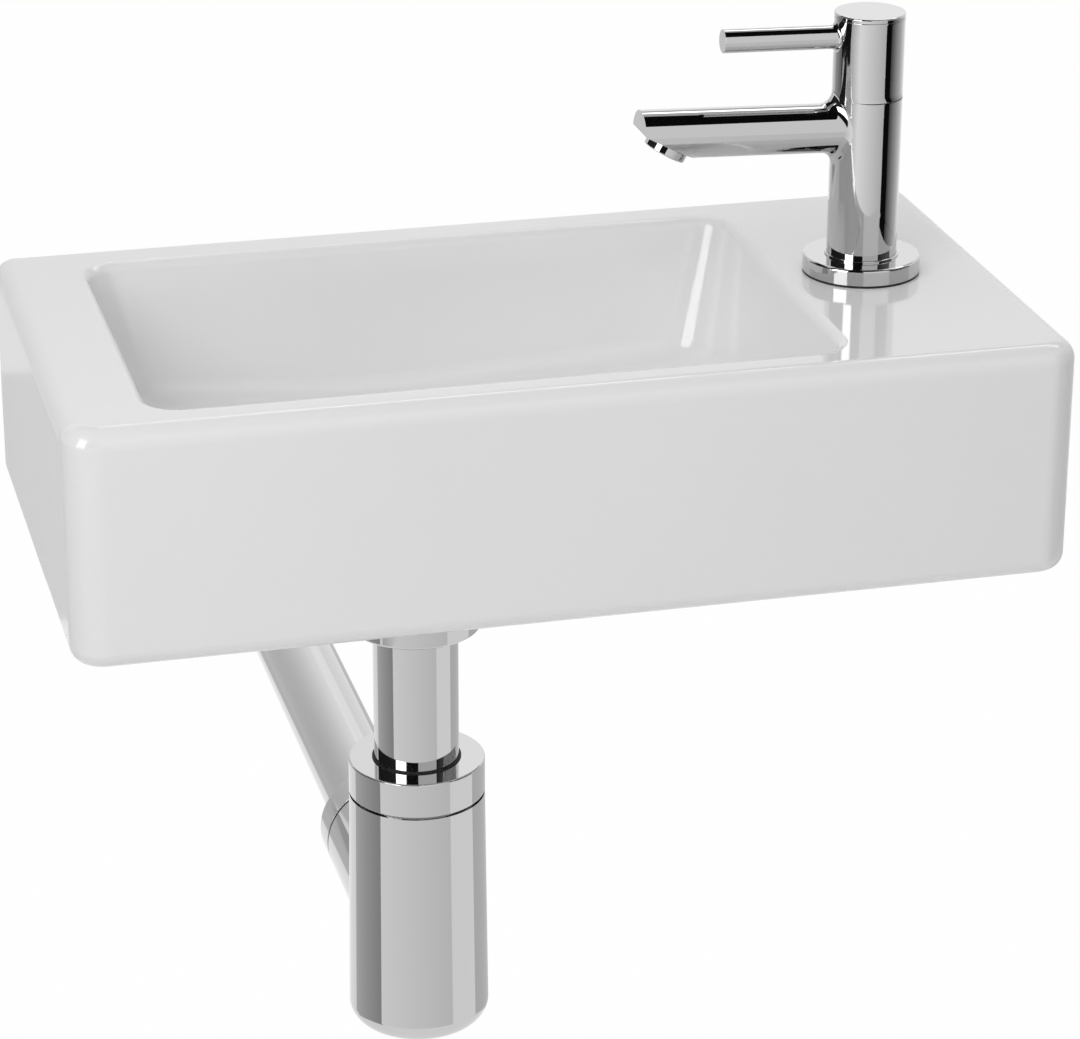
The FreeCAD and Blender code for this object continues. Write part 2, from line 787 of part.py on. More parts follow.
def waste_cover():
    """Fixed domed cover that stands clear of the flange, with its screwed stem."""
    foot = flange_top + waste_cover_lift
    shoulder = waste_stem_radius + waste_cover_collar
    edge_top = foot + waste_cover_edge
    half = waste_cover_radius / 2
    dome_radius = half / math.tan(math.atan2(waste_cover_crown, half) / 2)
    points = [
        (0, bridge_foot),
        (waste_stem_radius, bridge_foot),
        (waste_stem_radius, bridge_top),
        (shoulder, bridge_top),
        (shoulder, foot),
        (waste_cover_radius, foot),
        (waste_cover_radius, edge_top, waste_cover_edge_radius),
        (half, edge_top + waste_cover_crown, dome_radius * dome_share),
        (0, edge_top + waste_cover_crown),
    ]
    return turned(points, drain_axis)


def waste_upper_seal():
    base = drain_axis + UP * recess_floor
    return ring(waste_flange_radius - seal_inset, waste_tail_radius + slide_fit, waste_seal_thickness, base)


def waste_lower_seal():
    base = drain_axis + UP * (boss_foot - waste_lower_seal_thickness)
    return ring(waste_flange_radius, waste_tail_radius + slide_fit, waste_lower_seal_thickness, base)


def waste_backnut():
    base = drain_axis + UP * (boss_foot - waste_lower_seal_thickness - waste_nut_height)
    return hex_nut(waste_nut_flats, waste_tail_radius + slide_fit, waste_nut_height, base)


# ---- Trap: union at the waste, tube and gland nut ----
tube_bore = tube_radius - tube_wall
tube_flange_top = tail_foot - union_seal_thickness
tube_flange_foot = tube_flange_top - tube_flange_thickness
gland_foot = -gland_top_drop - gland_height
bottle_top = gland_foot - seam_gap
bottle_foot = bottle_top - bottle_height
gland_bore = gland_neck_radius + slide_fit
gland_lip_foot = -gland_top_drop - gland_lip_thickness
neck_rim = gland_lip_foot - gland_seal_thickness


def trap_union_nut():
    foot = tube_flange_foot - slide_fit - union_lip_thickness
    points = [
        (tube_radius + loose_fit, foot),
        (union_radius, foot, union_edge),
        (union_radius, foot + union_height, union_edge),
        (waste_tail_radius + slide_fit, foot + union_height),
        (waste_tail_radius + slide_fit, foot + union_lip_thickness),
        (tube_radius + loose_fit, foot + union_lip_thickness),
    ]
    return turned(points, drain_axis)


def trap_union_seal():
    base = drain_axis + UP * tube_flange_top
    return ring(tube_flange_radius, tube_bore + seal_inset, union_seal_thickness, base)


def trap_inlet_tube():
    """Flanged tube from the union down into the bottle, where it dips in the water."""
    foot = bottle_foot + bottle_wall + bottle_floor_gap
    points = [
        (tube_bore, foot),
        (tube_radius, foot),
        (tube_radius, tube_flange_foot),
        (tube_flange_radius, tube_flange_foot),
        (tube_flange_radius, tube_flange_top),
        (tube_bore, tube_flange_top),
    ]
    return turned(points, drain_axis)


def trap_gland_nut():
    top = -gland_top_drop
    lip_bore = tube_radius + slide_fit * 2 + gland_seal_lip
    points = [
        (gland_bore, gland_foot),
        (gland_radius, gland_foot),
        (gland_radius, top, gland_edge),
        (lip_bore, top),
        (lip_bore, gland_lip_foot),
        (gland_bore, gland_lip_foot),
    ]
    return turned(points, drain_axis)


def trap_gland_seal():
    """Rubber ring gripped under the nut's lip. Its thin edge shows around the tube."""
    inner = tube_radius + slide_fit
    points = [
        (inner, neck_rim),
        (gland_neck_radius - seal_inset, neck_rim),
        (gland_neck_radius - seal_inset, gland_lip_foot),
        (inner + gland_seal_lip, gland_lip_foot),
        (inner + gland_seal_lip, gland_seal_show - gland_top_drop),
        (inner, gland_seal_show - gland_top_drop),
    ]
    return turned(points, drain_axis)


# ---- Trap: bottle and outlet ----
outlet_z = bottle_top + seam_gap - outlet_drop
outlet_axis = drain_axis + UP * outlet_z
outlet_neck_end = outlet_reach + outlet_neck_length
outlet_nut_start = outlet_reach + seam_gap
outlet_nut_end = outlet_nut_start + outlet_nut_length
outlet_bore = outlet_neck_radius + slide_fit
pipe_end = drain_from_wall + waste_pipe_behind_wall


def bottle_outer():
    points = [
        (0, bottle_foot),
        (bottle_foot_radius, bottle_foot, bottle_edge_radius),
        (gland_radius, bottle_top),
        (gland_neck_radius, bottle_top),
        (gland_neck_radius, neck_rim),
        (0, neck_rim),
    ]
    return turned(points, drain_axis)


def bottle_inner():
    ceiling = bottle_top - bottle_shoulder
    inner_edge = bottle_edge_radius - bottle_wall
    points = [
        (0, bottle_foot + bottle_wall),
        (bottle_foot_radius - bottle_wall, bottle_foot + bottle_wall, inner_edge),
        (gland_radius - bottle_wall, ceiling),
        (gland_neck_bore, ceiling),
        (gland_neck_bore, neck_rim),
        (0, neck_rim),
    ]
    return turned(points, drain_axis)


def trap_bottle():
    """Bottle with its screwed neck on top and the outlet stub towards the wall."""
    stub_points = [
        (0, 0),
        (outlet_radius, 0),
        (outlet_radius, outlet_reach),
        (outlet_neck_radius, outlet_reach),
        (outlet_neck_radius, outlet_neck_end),
        (0, outlet_neck_end),
    ]
    socket_start = outlet_neck_end - outlet_socket_depth
    way_points = [
        (0, 0),
        (tube_bore, 0),
        (tube_bore, socket_start),
        (tube_radius + loose_fit, socket_start),
        (tube_radius + loose_fit, outlet_neck_end),
        (0, outlet_neck_end),
    ]
    body = bottle_outer().fuse(turned_to_wall(stub_points, outlet_axis))
    return body.cut(bottle_inner()).cut(turned_to_wall(way_points, outlet_axis))


def trap_outlet_nut():
    lip_start = outlet_nut_end - outlet_lip_thickness
    points = [
        (outlet_bore, outlet_nut_start),
        (outlet_radius, outlet_nut_start),
        (outlet_radius, outlet_nut_end, outlet_nut_edge),
        (tube_radius + loose_fit, outlet_nut_end),
        (tube_radius + loose_fit, lip_start),
        (outlet_bore, lip_start),
    ]
    return turned_to_wall(points, outlet_axis)


def trap_outlet_seal():
    points = [
        (tube_radius + slide_fit, 0),
        (outlet_neck_radius - seal_inset, 0),
        (outlet_neck_radius - seal_inset, outlet_seal_thickness - slide_fit),
        (tube_radius + slide_fit, outlet_seal_thickness - slide_fit),
    ]
    lip_start = outlet_nut_end - outlet_lip_thickness
    start = max(outlet_neck_end, lip_start - outlet_seal_thickness)
    return turned_to_wall(points, outlet_axis + TO_WALL * start)


def trap_waste_pipe():
    start = outlet_neck_end - outlet_socket_depth
    pipe = ring(tube_radius, tube_bore, pipe_end - start, outlet_axis + TO_WALL * start, TO_WALL)
    mark = outlet_axis + TO_WALL * (outlet_nut_end + slide_fit - pipe_mark_width)
    groove = ring(tube_radius + overcut, tube_radius - pipe_mark_depth, pipe_mark_width, mark, TO_WALL)
    return pipe.cut(groove)


PIECES = {
    "basin": basin,
    "tap_body": tap_body,
    "tap_base_ring": tap_base_ring,
    "tap_base_gasket": tap_base_gasket,
    "aerator_housing": aerator_housing,
    "aerator_insert": aerator_insert,
    "aerator_seal": aerator_seal,
    "headwork_body": headwork_body,
    "headwork_lip_seal": headwork_lip_seal,
    "fixed_disc": fixed_disc,
    "turning_disc": turning_disc,
    "spindle": spindle,
    "spindle_o_ring": spindle_o_ring,
    "handle": handle,
    "handle_top_disc": handle_top_disc,
    "handle_grub_screw": handle_grub_screw,
    "tap_rubber_washer": tap_rubber_washer,
    "tap_steel_washer": tap_steel_washer,
    "tap_backnut": tap_backnut,
    "waste_body": waste_body,
    "waste_cover": waste_cover,
    "waste_upper_seal": waste_upper_seal,
    "waste_lower_seal": waste_lower_seal,
    "waste_backnut": waste_backnut,
    "trap_union_nut": trap_union_nut,
    "trap_union_seal": trap_union_seal,
    "trap_inlet_tube": trap_inlet_tube,
    "trap_gland_nut": trap_gland_nut,
    "trap_gland_seal": trap_gland_seal,
    "trap_bottle": trap_bottle,
    "trap_outlet_nut": trap_outlet_nut,
    "trap_outlet_seal": trap_outlet_seal,
    "trap_waste_pipe": trap_waste_pipe,
}

os.makedirs("parts", exist_ok=True)
for name, make in PIECES.items():
    shape = make()
    if not shape.isValid() or len(shape.Solids) != 1:
        raise ValueError(name + " is not one valid solid")
    shape.Solids[0].exportStep("parts/" + name + ".step")
    print(name, round(shape.Volume, 1))
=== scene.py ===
import json
import math

import bmesh
import bpy
from mathutils import Matrix, Vector


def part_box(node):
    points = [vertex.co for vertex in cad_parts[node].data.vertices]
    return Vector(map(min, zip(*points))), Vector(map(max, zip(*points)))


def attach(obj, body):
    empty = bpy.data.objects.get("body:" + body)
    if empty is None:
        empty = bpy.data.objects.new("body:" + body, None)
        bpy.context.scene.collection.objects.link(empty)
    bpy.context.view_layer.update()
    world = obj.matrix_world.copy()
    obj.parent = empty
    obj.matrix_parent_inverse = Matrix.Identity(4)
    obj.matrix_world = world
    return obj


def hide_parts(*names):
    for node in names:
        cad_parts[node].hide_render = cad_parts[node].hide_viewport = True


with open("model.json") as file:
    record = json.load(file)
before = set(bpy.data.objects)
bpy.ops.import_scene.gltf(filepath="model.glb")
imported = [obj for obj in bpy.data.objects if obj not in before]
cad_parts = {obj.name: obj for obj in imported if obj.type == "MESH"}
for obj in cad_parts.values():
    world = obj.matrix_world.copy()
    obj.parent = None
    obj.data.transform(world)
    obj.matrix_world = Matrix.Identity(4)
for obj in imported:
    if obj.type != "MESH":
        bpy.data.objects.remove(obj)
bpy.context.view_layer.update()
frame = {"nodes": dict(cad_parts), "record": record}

bl_info = {
    "name": "Wall hung basin finishes",
    "version": (1, 0, 0),
    "blender": (4, 5, 0),
    "location": "3D View > Sidebar > Wall basin",
    "description": "Glaze, chromium plate, fine edges and studio for a small wall hung basin",
    "category": "Object",
}

MM = 0.001
UP = Vector((0, 0, 1))
TO_WALL = Vector((0, 1, 0))
ROUND_STEPS = 160  # facets round a turned piece
ARC_STEPS = 8  # facets in a rounded corner
BAR_LINES = 192  # lines round a column's side bar
BAR_STEPS = 8  # facets along the bar
BLEND_STEPS = 12  # facets across the fillet between column and bar
SKIN_STEPS = 14  # facets from the column's outline to the fillet
SKIN_EASE = 1.6  # draws those facets closer together at the fillet
CARD_STEPS = 24  # facets along each side of a studio card
EDGE_STEPS = 3  # facets in a softened edge
SHARP_ANGLE = math.radians(28)  # an edge that turns more than this is softened
SAME_POINT = 1e-7  # metres
ON_PLANE = 1e-6  # metres
CELLS_PER_BLOTCH = 0.6  # the size of a noise cell against the blotch that the eye sees
SENSOR_WIDTH = 36  # millimetres, as Blender's camera has it
LINES_ROUND_UPRIGHT = (0.12, 0.12, 1.0)  # stretches a pattern into rings round Z
LINES_ALONG_PIPE = (1.0, 0.06, 1.0)  # draws it out along Y, as the die does on the waste pipe
RINGS_ON_BRASS = (0.1, 0.1, 1.0)  # rings round Z again, drawn out a little more
LINES_ALONG_STRIP = (1.0, 0.06, 0.06)  # draws it out along Y and Z, as rolling does on steel strip


# ---- Places read from the frame ----
def middle(node):
    low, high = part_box(node)
    return (low + high) / 2


def radius_of(node):
    low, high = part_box(node)
    return (high.x - low.x) / 2


def foot_of(node):
    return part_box(node)[0].z


def top_of(node):
    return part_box(node)[1].z


tap_axis = middle("handle_top_disc")
tap_axis.z = 0
drain_axis = middle("trap_gland_nut")
drain_axis.z = 0
rim_z = top_of("basin")
pipe_axis = middle("trap_waste_pipe")
pipe_axis.y = 0


# ---- Sizes and colours that a user would change ----
def length(name, description, mm):
    return bpy.props.FloatProperty(name=name, description=description, default=mm * MM, subtype="DISTANCE")


def angle(name, description, degrees):
    return bpy.props.FloatProperty(name=name, description=description, default=math.radians(degrees),
                                   subtype="ANGLE")


def amount(name, description, value):
    return bpy.props.FloatProperty(name=name, description=description, default=value, min=0)


def tint(name, description, code):
    return bpy.props.StringProperty(name=name, description=description, default=code)


class CeramicLook(bpy.types.PropertyGroup):
    glaze: tint("Glaze", "Colour of the fired glaze over white clay", "F5F5F5")
    thin_glaze: tint("Thin glaze", "Colour where the glaze lies thin", "F2F2F2")
    bisque: tint("Bisque", "Colour of the ground, unglazed wall face", "D9D6CF")
    pale_bisque: tint("Pale bisque", "Colour of its lighter grains", "E4E1DB")
    thickness_patch: length("Thickness patch", "Distance between thick and thin glaze", 60.0)
    ripple: length("Glaze ripple", "Distance between the slow waves in the glaze", 34.0)
    ripple_height: length("Ripple height", "Height of the slow waves", 0.012)
    peel: length("Peel", "Distance between the fine dimples in the glaze", 5.0)
    peel_height: length("Peel height", "Depth of the dimples", 0.0009)
    gloss_patch: length("Gloss patch", "Distance between glossier and duller places", 18.0)
    grit: length("Grit", "Grain of the wall face", 0.8)
    grit_height: length("Grit height", "Height of that grain", 0.05)
    ground_depth: length("Ground depth", "How far from the wall the glaze is ground off", 0.2)


class ChromeLook(bpy.types.PropertyGroup):
    plate: tint("Plate", "Colour of bright chromium", "C8C8C8")
    roughness: amount("Roughness", "Polish of the plate", 0.035)
    wave: length("Wave", "Distance between the waves that polishing leaves", 14.0)
    wave_height: length("Wave height", "Height of the polishing waves", 0.0012)
    haze: length("Haze", "Distance between more and less polished places", 6.0)
    tool_line: length("Tool line", "Distance between the lines of a drawn or turned surface", 1.5)
    tool_line_height: length("Tool line height", "Height of those lines", 0.00004)


class SmallPartLook(bpy.types.PropertyGroup):
    rubber_bloom: length("Rubber bloom", "Distance between dusty places on rubber", 3.0)
    rubber_grain: length("Rubber grain", "Grain that the mould gives rubber", 0.5)
    rubber_grain_height: length("Rubber grain height", "Height of that grain", 0.01)
    acetal_flow: length("Acetal flow", "Distance between flow marks in the plastic", 5.0)
    acetal_grain: length("Acetal grain", "Grain that the mould gives the plastic", 0.6)
    acetal_grain_height: length("Acetal grain height", "Height of that grain", 0.004)
    brass_ring: length("Brass ring", "Distance between tool rings on bare brass", 0.6)
    brass_ring_height: length("Brass ring height", "Height of the rings", 0.006)
    brass_stain: length("Brass stain", "Distance between dull places on the brass", 7.0)
    alumina_grain: length("Alumina grain", "Grain of the lapped discs", 0.5)
    rolling_line: length("Rolling line", "Distance between rolling lines on steel", 0.7)
    rolling_line_height: length("Rolling line height", "Height of those lines", 0.003)


class TapShape(bpy.types.PropertyGroup):
    column_radius: length("Column radius", "Radius of the tap's column", radius_of("handle_top_disc") / MM)
    seam_height: length("Seam", "Height of the handle's seam above the rim", 67.0)
    spout_radius: length("Spout radius", "Radius of the spout", 9.0)
    spout_height: length("Spout height", "Height of the spout's axis above the rim", 55.2)
    spout_reach: length("Spout reach", "Spout's tip from the tap's axis", 86.0)
    spout_rise: angle("Spout rise", "Slope of the spout", 2.0)
    spout_blend: length("Spout blend", "Radius where spout and column run together", 5.0)
    outlet_angle: angle("Outlet angle", "Slope of the outlet's face against the spout", 27.0)
    outlet_start: length("Outlet start", "Outlet's edge above the spout's axis, at the tip", 1.5)
    lever_radius: length("Lever radius", "Radius of the lever", 4.3)
    lever_height: length("Lever height", "Height of the lever's axis above the rim", 89.4)
    lever_reach: length("Lever reach", "Lever's tip from the tap's axis", 55.5)
    lever_rise: angle("Lever rise", "Slope of the lever", 1.5)
    lever_root: length("Lever root", "Radius where the lever leaves the cap", 1.8)
    wall: length("Wall", "Wall of the casting", 1.2)
    disc_spigot: length("Disc spigot", "How far the top disc reaches into the cap", 3.5)
    handle_hollow: length("Handle hollow", "Depth of the hollow in the handle's foot", 12.7)
    foot_sink: length("Foot sink", "How far the column reaches down into the base ring", 4.5)
    foot_recess: length("Foot recess", "Depth of the closed hollow in the column's foot", 0.5)
    seam_recess: length("Seam recess", "Depth of the closed hollow at the handle's seam", 2.0)
    cap_recess: length("Cap recess", "Depth of the hollow under the top disc", 0.2)
    edge: length("Edge", "Rounding that polishing leaves on an edge", 0.35)


class TrapShape(bpy.types.PropertyGroup):
    tube_radius: length("Tube radius", "Radius of the drawn tubes", 16.0)
    fit: length("Fit", "Clearance of a tube in its nut", 0.2)
    seam: length("Seam", "How far a nut's face is eased back from its seat", 0.7)
    outlet_seam: length("Outlet seam", "The same at the outlet nut, which is seen nearly edge on", 1.1)
    nut_edge: length("Nut edge", "Rounding of a nut's outer edge", 0.7)
    nut_lip: length("Nut lip", "Thickness of the lip that grips the seal", 3.0)
    gland_neck: length("Gland neck", "Bore of the gland nut", 23.45)
    outlet_neck: length("Outlet neck", "Bore of the outlet nut", 20.45)
    edge: length("Edge", "Rounding of the turned edges", 0.1)


class StudioSetup(bpy.types.PropertyGroup):
    azimuth: angle("Azimuth", "Camera's turn round the basin", -14.493)
    elevation: angle("Elevation", "Camera's height as an angle", 22.586)
    roll: angle("Roll", "Camera's roll", 0.210)
    distance: length("Distance", "Camera from the wall above the bolts, along its own axis", 1470.6)
    slide: length("Slide", "Camera's shift to its right", 29.6)
    lift: length("Lift", "Camera's shift along its own up", -113.7)
    lens: amount("Lens", "Focal length on a 36 mm sensor, in mm", 127.72)
    floor_drop: length("Floor", "Floor below the wall bolts", 850.0)
    floor_size: length("Floor size", "Width of the floor", 14000.0)
    floor_fibre: length("Floor fibre", "Grain of the paper on the floor", 3.0)
    daylight: amount("Daylight", "Light from the horizon", 0.30)
    zenith: amount("Zenith", "Light from straight above", 0.69)
    key_power: amount("Key power", "Soft lamp in front, at the left, in watts", 5.6)
    key_turn: angle("Key turn", "Lamp's turn from the camera, as seen from the basin", -26)
    key_rise: angle("Key rise", "Lamp's height as an angle", 36)
    key_distance: length("Key distance", "Lamp from the middle of the basin", 1250.0)
    key_size: length("Key size", "Width of the soft lamp", 950.0)
    fill_power: amount("Fill power", "Soft lamp low in front, in watts", 1.7)
    fill_turn: angle("Fill turn", "Fill lamp's turn from the camera", 4)
    fill_rise: angle("Fill rise", "Fill lamp's height as an angle", -24)
    fill_distance: length("Fill distance", "Fill lamp from the middle of the basin", 1450.0)
    fill_size: length("Fill size", "Width of the fill lamp", 1100.0)
    floor_glow: amount("Floor glow", "Share of the floor's white that is its own", 0.985)


# ---- Materials ----
def colour(code):
    """sRGB hex to linear RGBA."""
    channels = [int(code[i:i + 2], 16) / 255 for i in (0, 2, 4)]
    linear = [c / 12.92 if c <= 0.04045 else ((c + 0.055) / 1.055) ** 2.4 for c in channels]
    return (*linear, 1.0)


def cells(spacing):
    """Scale of a noise whose blotches are about spacing metres across."""
    return CELLS_PER_BLOTCH / spacing


def add(tree, kind, settings, **inputs):
    """Adds a shader node.

    An input is called by its name, with _ for a space, or by its number, with _ before it. It takes a value,
    a socket to link from, or a node to link from by its first output.
    """
    made = tree.nodes.new("ShaderNode" + kind)
    for name, value in settings.items():
        setattr(made, name, value)
    for name, value in inputs.items():
        socket = made.inputs[int(name[1:])] if name[1:].isdigit() else made.inputs[name.replace("_", " ")]
        if isinstance(value, bpy.types.Node):
            value = value.outputs[0]
        if isinstance(value, bpy.types.NodeSocket):
            tree.links.new(value, socket)
        else:
            socket.default_value = value
    return made


def new_material(name):
    """A node material, its tree emptied, with its object coordinates in metres."""
    material = bpy.data.materials.new(name)
    material.use_nodes = True
    tree = material.node_tree
    tree.nodes.clear()
    place = add(tree, "TexCoord", {}).outputs["Object"]
    return material, tree, place


def glazed_vitreous_china(look):
    """White clay under a fired glaze. The eye gets sharp but faintly rippled highlights on milky white."""
    material, tree, place = new_material("glazed_vitreous_china")
    thickness = add(tree, "TexNoise", {}, Vector=place, Scale=cells(look.thickness_patch), Detail=2.0)
    body = add(tree, "Mix", {"data_type": "RGBA"}, _0=thickness, _6=colour(look.thin_glaze),
               _7=colour(look.glaze)).outputs[2]
    slow = add(tree, "TexNoise", {}, Vector=place, Scale=cells(look.ripple), Detail=1.0)
    relief = add(tree, "Bump", {}, Height=slow, Distance=look.ripple_height, Strength=1.0)
    peel = add(tree, "TexNoise", {}, Vector=place, Scale=cells(look.peel), Detail=2.0)
    relief = add(tree, "Bump", {}, Height=peel, Distance=look.peel_height, Strength=1.0, Normal=relief)
    gloss = add(tree, "TexNoise", {}, Vector=place, Scale=cells(look.gloss_patch), Detail=2.0)
    polish = add(tree, "MapRange", {}, Value=gloss, To_Min=0.05, To_Max=0.09)
    glaze = add(tree, "BsdfPrincipled", {}, Base_Color=body, Roughness=polish, IOR=1.52, Normal=relief)
    # The wall face is ground flat after firing, so it is dry, warm and matt.
    depth = add(tree, "SeparateXYZ", {}, Vector=place).outputs[1]
    ground = add(tree, "Math", {"operation": "GREATER_THAN"}, _0=depth, _1=-look.ground_depth)
    grit = add(tree, "TexNoise", {}, Vector=place, Scale=cells(look.grit), Detail=4.0)
    clay = add(tree, "Mix", {"data_type": "RGBA"}, _0=grit, _6=colour(look.bisque),
               _7=colour(look.pale_bisque)).outputs[2]
    rough = add(tree, "Bump", {}, Height=grit, Distance=look.grit_height, Strength=1.0)
    dry = add(tree, "BsdfPrincipled", {}, Base_Color=clay, Roughness=0.75, IOR=1.5, Normal=rough)
    surface = add(tree, "MixShader", {}, _0=ground, _1=glaze, _2=dry)
    add(tree, "OutputMaterial", {}, Surface=surface)
    return material


def bright_chromium_on_brass(look):
    """Polished casting under nickel and chromium. The eye gets a dark mirror with slightly swimming lines."""
    material, tree, place = new_material("bright_chromium_on_cast_brass")
    wave = add(tree, "TexNoise", {}, Vector=place, Scale=cells(look.wave), Detail=1.0)
    relief = add(tree, "Bump", {}, Height=wave, Distance=look.wave_height, Strength=1.0)
    haze = add(tree, "TexNoise", {}, Vector=place, Scale=cells(look.haze), Detail=3.0)
    polish = add(tree, "MapRange", {}, Value=haze, To_Min=look.roughness * 0.7, To_Max=look.roughness * 1.3)
    plate = add(tree, "BsdfPrincipled", {}, Base_Color=colour(look.plate), Metallic=1.0, Roughness=polish,
                Normal=relief)
    add(tree, "OutputMaterial", {}, Surface=plate)
    return material


def bright_chromium_on_tube(look, name, stretch_scale):
    """Drawn or turned brass under chromium. The eye gets a mirror with faint tool lines."""
    material, tree, place = new_material(name)
    stretch = add(tree, "Mapping", {}, Vector=place, Scale=stretch_scale)
    # Tool lines are 0.1 mm apart, drawn here further apart so that they show.
    lines = add(tree, "TexNoise", {}, Vector=stretch, Scale=cells(look.tool_line), Detail=2.0)
    wave = add(tree, "TexNoise", {}, Vector=place, Scale=cells(look.wave * 2), Detail=1.0)
    relief = add(tree, "Bump", {}, Height=wave, Distance=look.wave_height, Strength=1.0)
    relief = add(tree, "Bump", {}, Height=lines, Distance=look.tool_line_height, Strength=1.0, Normal=relief)
    polish = add(tree, "MapRange", {}, Value=lines, To_Min=look.roughness * 0.9, To_Max=look.roughness * 1.8)
    plate = add(tree, "BsdfPrincipled", {}, Base_Color=colour(look.plate), Metallic=1.0, Roughness=polish,
                Normal=relief)
    add(tree, "OutputMaterial", {}, Surface=plate)
    return material


def moulded_rubber(look):
    """Pressed nitrile rubber. The eye gets a soft black with a dusty bloom."""
    material, tree, place = new_material("moulded_nitrile_rubber")
    bloom = add(tree, "TexNoise", {}, Vector=place, Scale=cells(look.rubber_bloom), Detail=4.0)
    body = add(tree, "Mix", {"data_type": "RGBA"}, _0=bloom, _6=colour("080808"),
               _7=colour("131313")).outputs[2]
    polish = add(tree, "MapRange", {}, Value=bloom, To_Min=0.5, To_Max=0.7)
    grain = add(tree, "TexNoise", {}, Vector=place, Scale=cells(look.rubber_grain), Detail=2.0)
    relief = add(tree, "Bump", {}, Height=grain, Distance=look.rubber_grain_height, Strength=1.0)
    rubber = add(tree, "BsdfPrincipled", {}, Base_Color=body, Roughness=polish, IOR=1.52, Normal=relief)
    add(tree, "OutputMaterial", {}, Surface=rubber)
    return material


def moulded_acetal(look):
    """Injection moulded acetal. The eye gets a waxy grey plastic with a fine mould texture."""
    material, tree, place = new_material("moulded_acetal")
    flow = add(tree, "TexNoise", {}, Vector=place, Scale=cells(look.acetal_flow), Detail=3.0)
    body = add(tree, "Mix", {"data_type": "RGBA"}, _0=flow, _6=colour("B9BBBD"),
               _7=colour("C4C6C7")).outputs[2]
    grain = add(tree, "TexNoise", {}, Vector=place, Scale=cells(look.acetal_grain), Detail=2.0)
    relief = add(tree, "Bump", {}, Height=grain, Distance=look.acetal_grain_height, Strength=1.0)
    plastic = add(tree, "BsdfPrincipled", {}, Base_Color=body, Roughness=0.38, IOR=1.48, Normal=relief)
    add(tree, "OutputMaterial", {}, Surface=plastic)
    return material


def machined_brass(look):
    """Turned brass bar, left bare. The eye gets a yellow metal with tool rings and dull spots."""
    material, tree, place = new_material("machined_brass")
    stretch = add(tree, "Mapping", {}, Vector=place, Scale=RINGS_ON_BRASS)
    rings = add(tree, "TexNoise", {}, Vector=stretch, Scale=cells(look.brass_ring), Detail=3.0)
    relief = add(tree, "Bump", {}, Height=rings, Distance=look.brass_ring_height, Strength=1.0)
    stain = add(tree, "TexNoise", {}, Vector=place, Scale=cells(look.brass_stain), Detail=4.0)
    metal = add(tree, "Mix", {"data_type": "RGBA"}, _0=stain, _6=colour("C9A25C"),
                _7=colour("B28A48")).outputs[2]
    polish = add(tree, "MapRange", {}, Value=stain, To_Min=0.22, To_Max=0.42)
    brass = add(tree, "BsdfPrincipled", {}, Base_Color=metal, Metallic=1.0, Roughness=polish, Normal=relief)
    add(tree, "OutputMaterial", {}, Surface=brass)
    return material


def lapped_alumina(look):
    """Sintered alumina, lapped flat. The eye gets a dense ivory ceramic with a satin face."""
    material, tree, place = new_material("lapped_alumina")
    grain = add(tree, "TexNoise", {}, Vector=place, Scale=cells(look.alumina_grain), Detail=4.0)
    body = add(tree, "Mix", {"data_type": "RGBA"}, _0=grain, _6=colour("ECE8DC"),
               _7=colour("E2DDCF")).outputs[2]
    polish = add(tree, "MapRange", {}, Value=grain, To_Min=0.2, To_Max=0.34)
    disc = add(tree, "BsdfPrincipled", {}, Base_Color=body, Roughness=polish, IOR=1.76)
    add(tree, "OutputMaterial", {}, Surface=disc)
    return material


def pressed_stainless_steel(look):
    """Stainless strip, pressed. The eye gets a grey metal with fine rolling lines."""
    material, tree, place = new_material("pressed_stainless_steel")
    stretch = add(tree, "Mapping", {}, Vector=place, Scale=LINES_ALONG_STRIP)
    rolled = add(tree, "TexNoise", {}, Vector=stretch, Scale=cells(look.rolling_line), Detail=3.0)
    relief = add(tree, "Bump", {}, Height=rolled, Distance=look.rolling_line_height, Strength=1.0)
    metal = add(tree, "Mix", {"data_type": "RGBA"}, _0=rolled, _6=colour("B4B5B6"),
                _7=colour("A3A4A6")).outputs[2]
    polish = add(tree, "MapRange", {}, Value=rolled, To_Min=0.28, To_Max=0.42)
    steel = add(tree, "BsdfPrincipled", {}, Base_Color=metal, Metallic=1.0, Roughness=polish, Normal=relief)
    add(tree, "OutputMaterial", {}, Surface=steel)
    return material


# ---- Mesh helpers ----
def rounded(points):
    """Profile of (radius, height) points. A third number rounds that corner with an arc of that radius."""
    made = []
    for i, point in enumerate(points):
        corner = Vector(point[:2])
        if len(point) < 3:
            made.append(corner)
            continue
        back = (Vector(points[i - 1][:2]) - corner).normalized()
        ahead = (Vector(points[(i + 1) % len(points)][:2]) - corner).normalized()
        half = back.angle(ahead) / 2
        centre = corner + (back + ahead).normalized() * (point[2] / math.sin(half))
        first = corner + back * (point[2] / math.tan(half)) - centre
        last = corner + ahead * (point[2] / math.tan(half)) - centre
        for step in range(ARC_STEPS + 1):
            share = step / ARC_STEPS
            turn = first.angle(last)
            spoke = (first * math.sin((1 - share) * turn) + last * math.sin(share * turn)) / math.sin(turn)
            made.append(centre + spoke)
    return made


def new_piece(name, bm, material, body, stands_for):
    """Object from a bmesh, shaded smooth, riding on its body in place of its CAD nodes."""
    bmesh.ops.remove_doubles(bm, verts=bm.verts, dist=SAME_POINT)
    bmesh.ops.recalc_face_normals(bm, faces=bm.faces)
    mesh = bpy.data.meshes.new(name)
    bm.to_mesh(mesh)
    bm.free()
    mesh.shade_smooth()
    mesh.materials.append(material)
    piece = bpy.data.objects.new(name, mesh)
    bpy.context.scene.collection.objects.link(piece)
    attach(piece, body)
    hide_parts(*stands_for)
    return piece


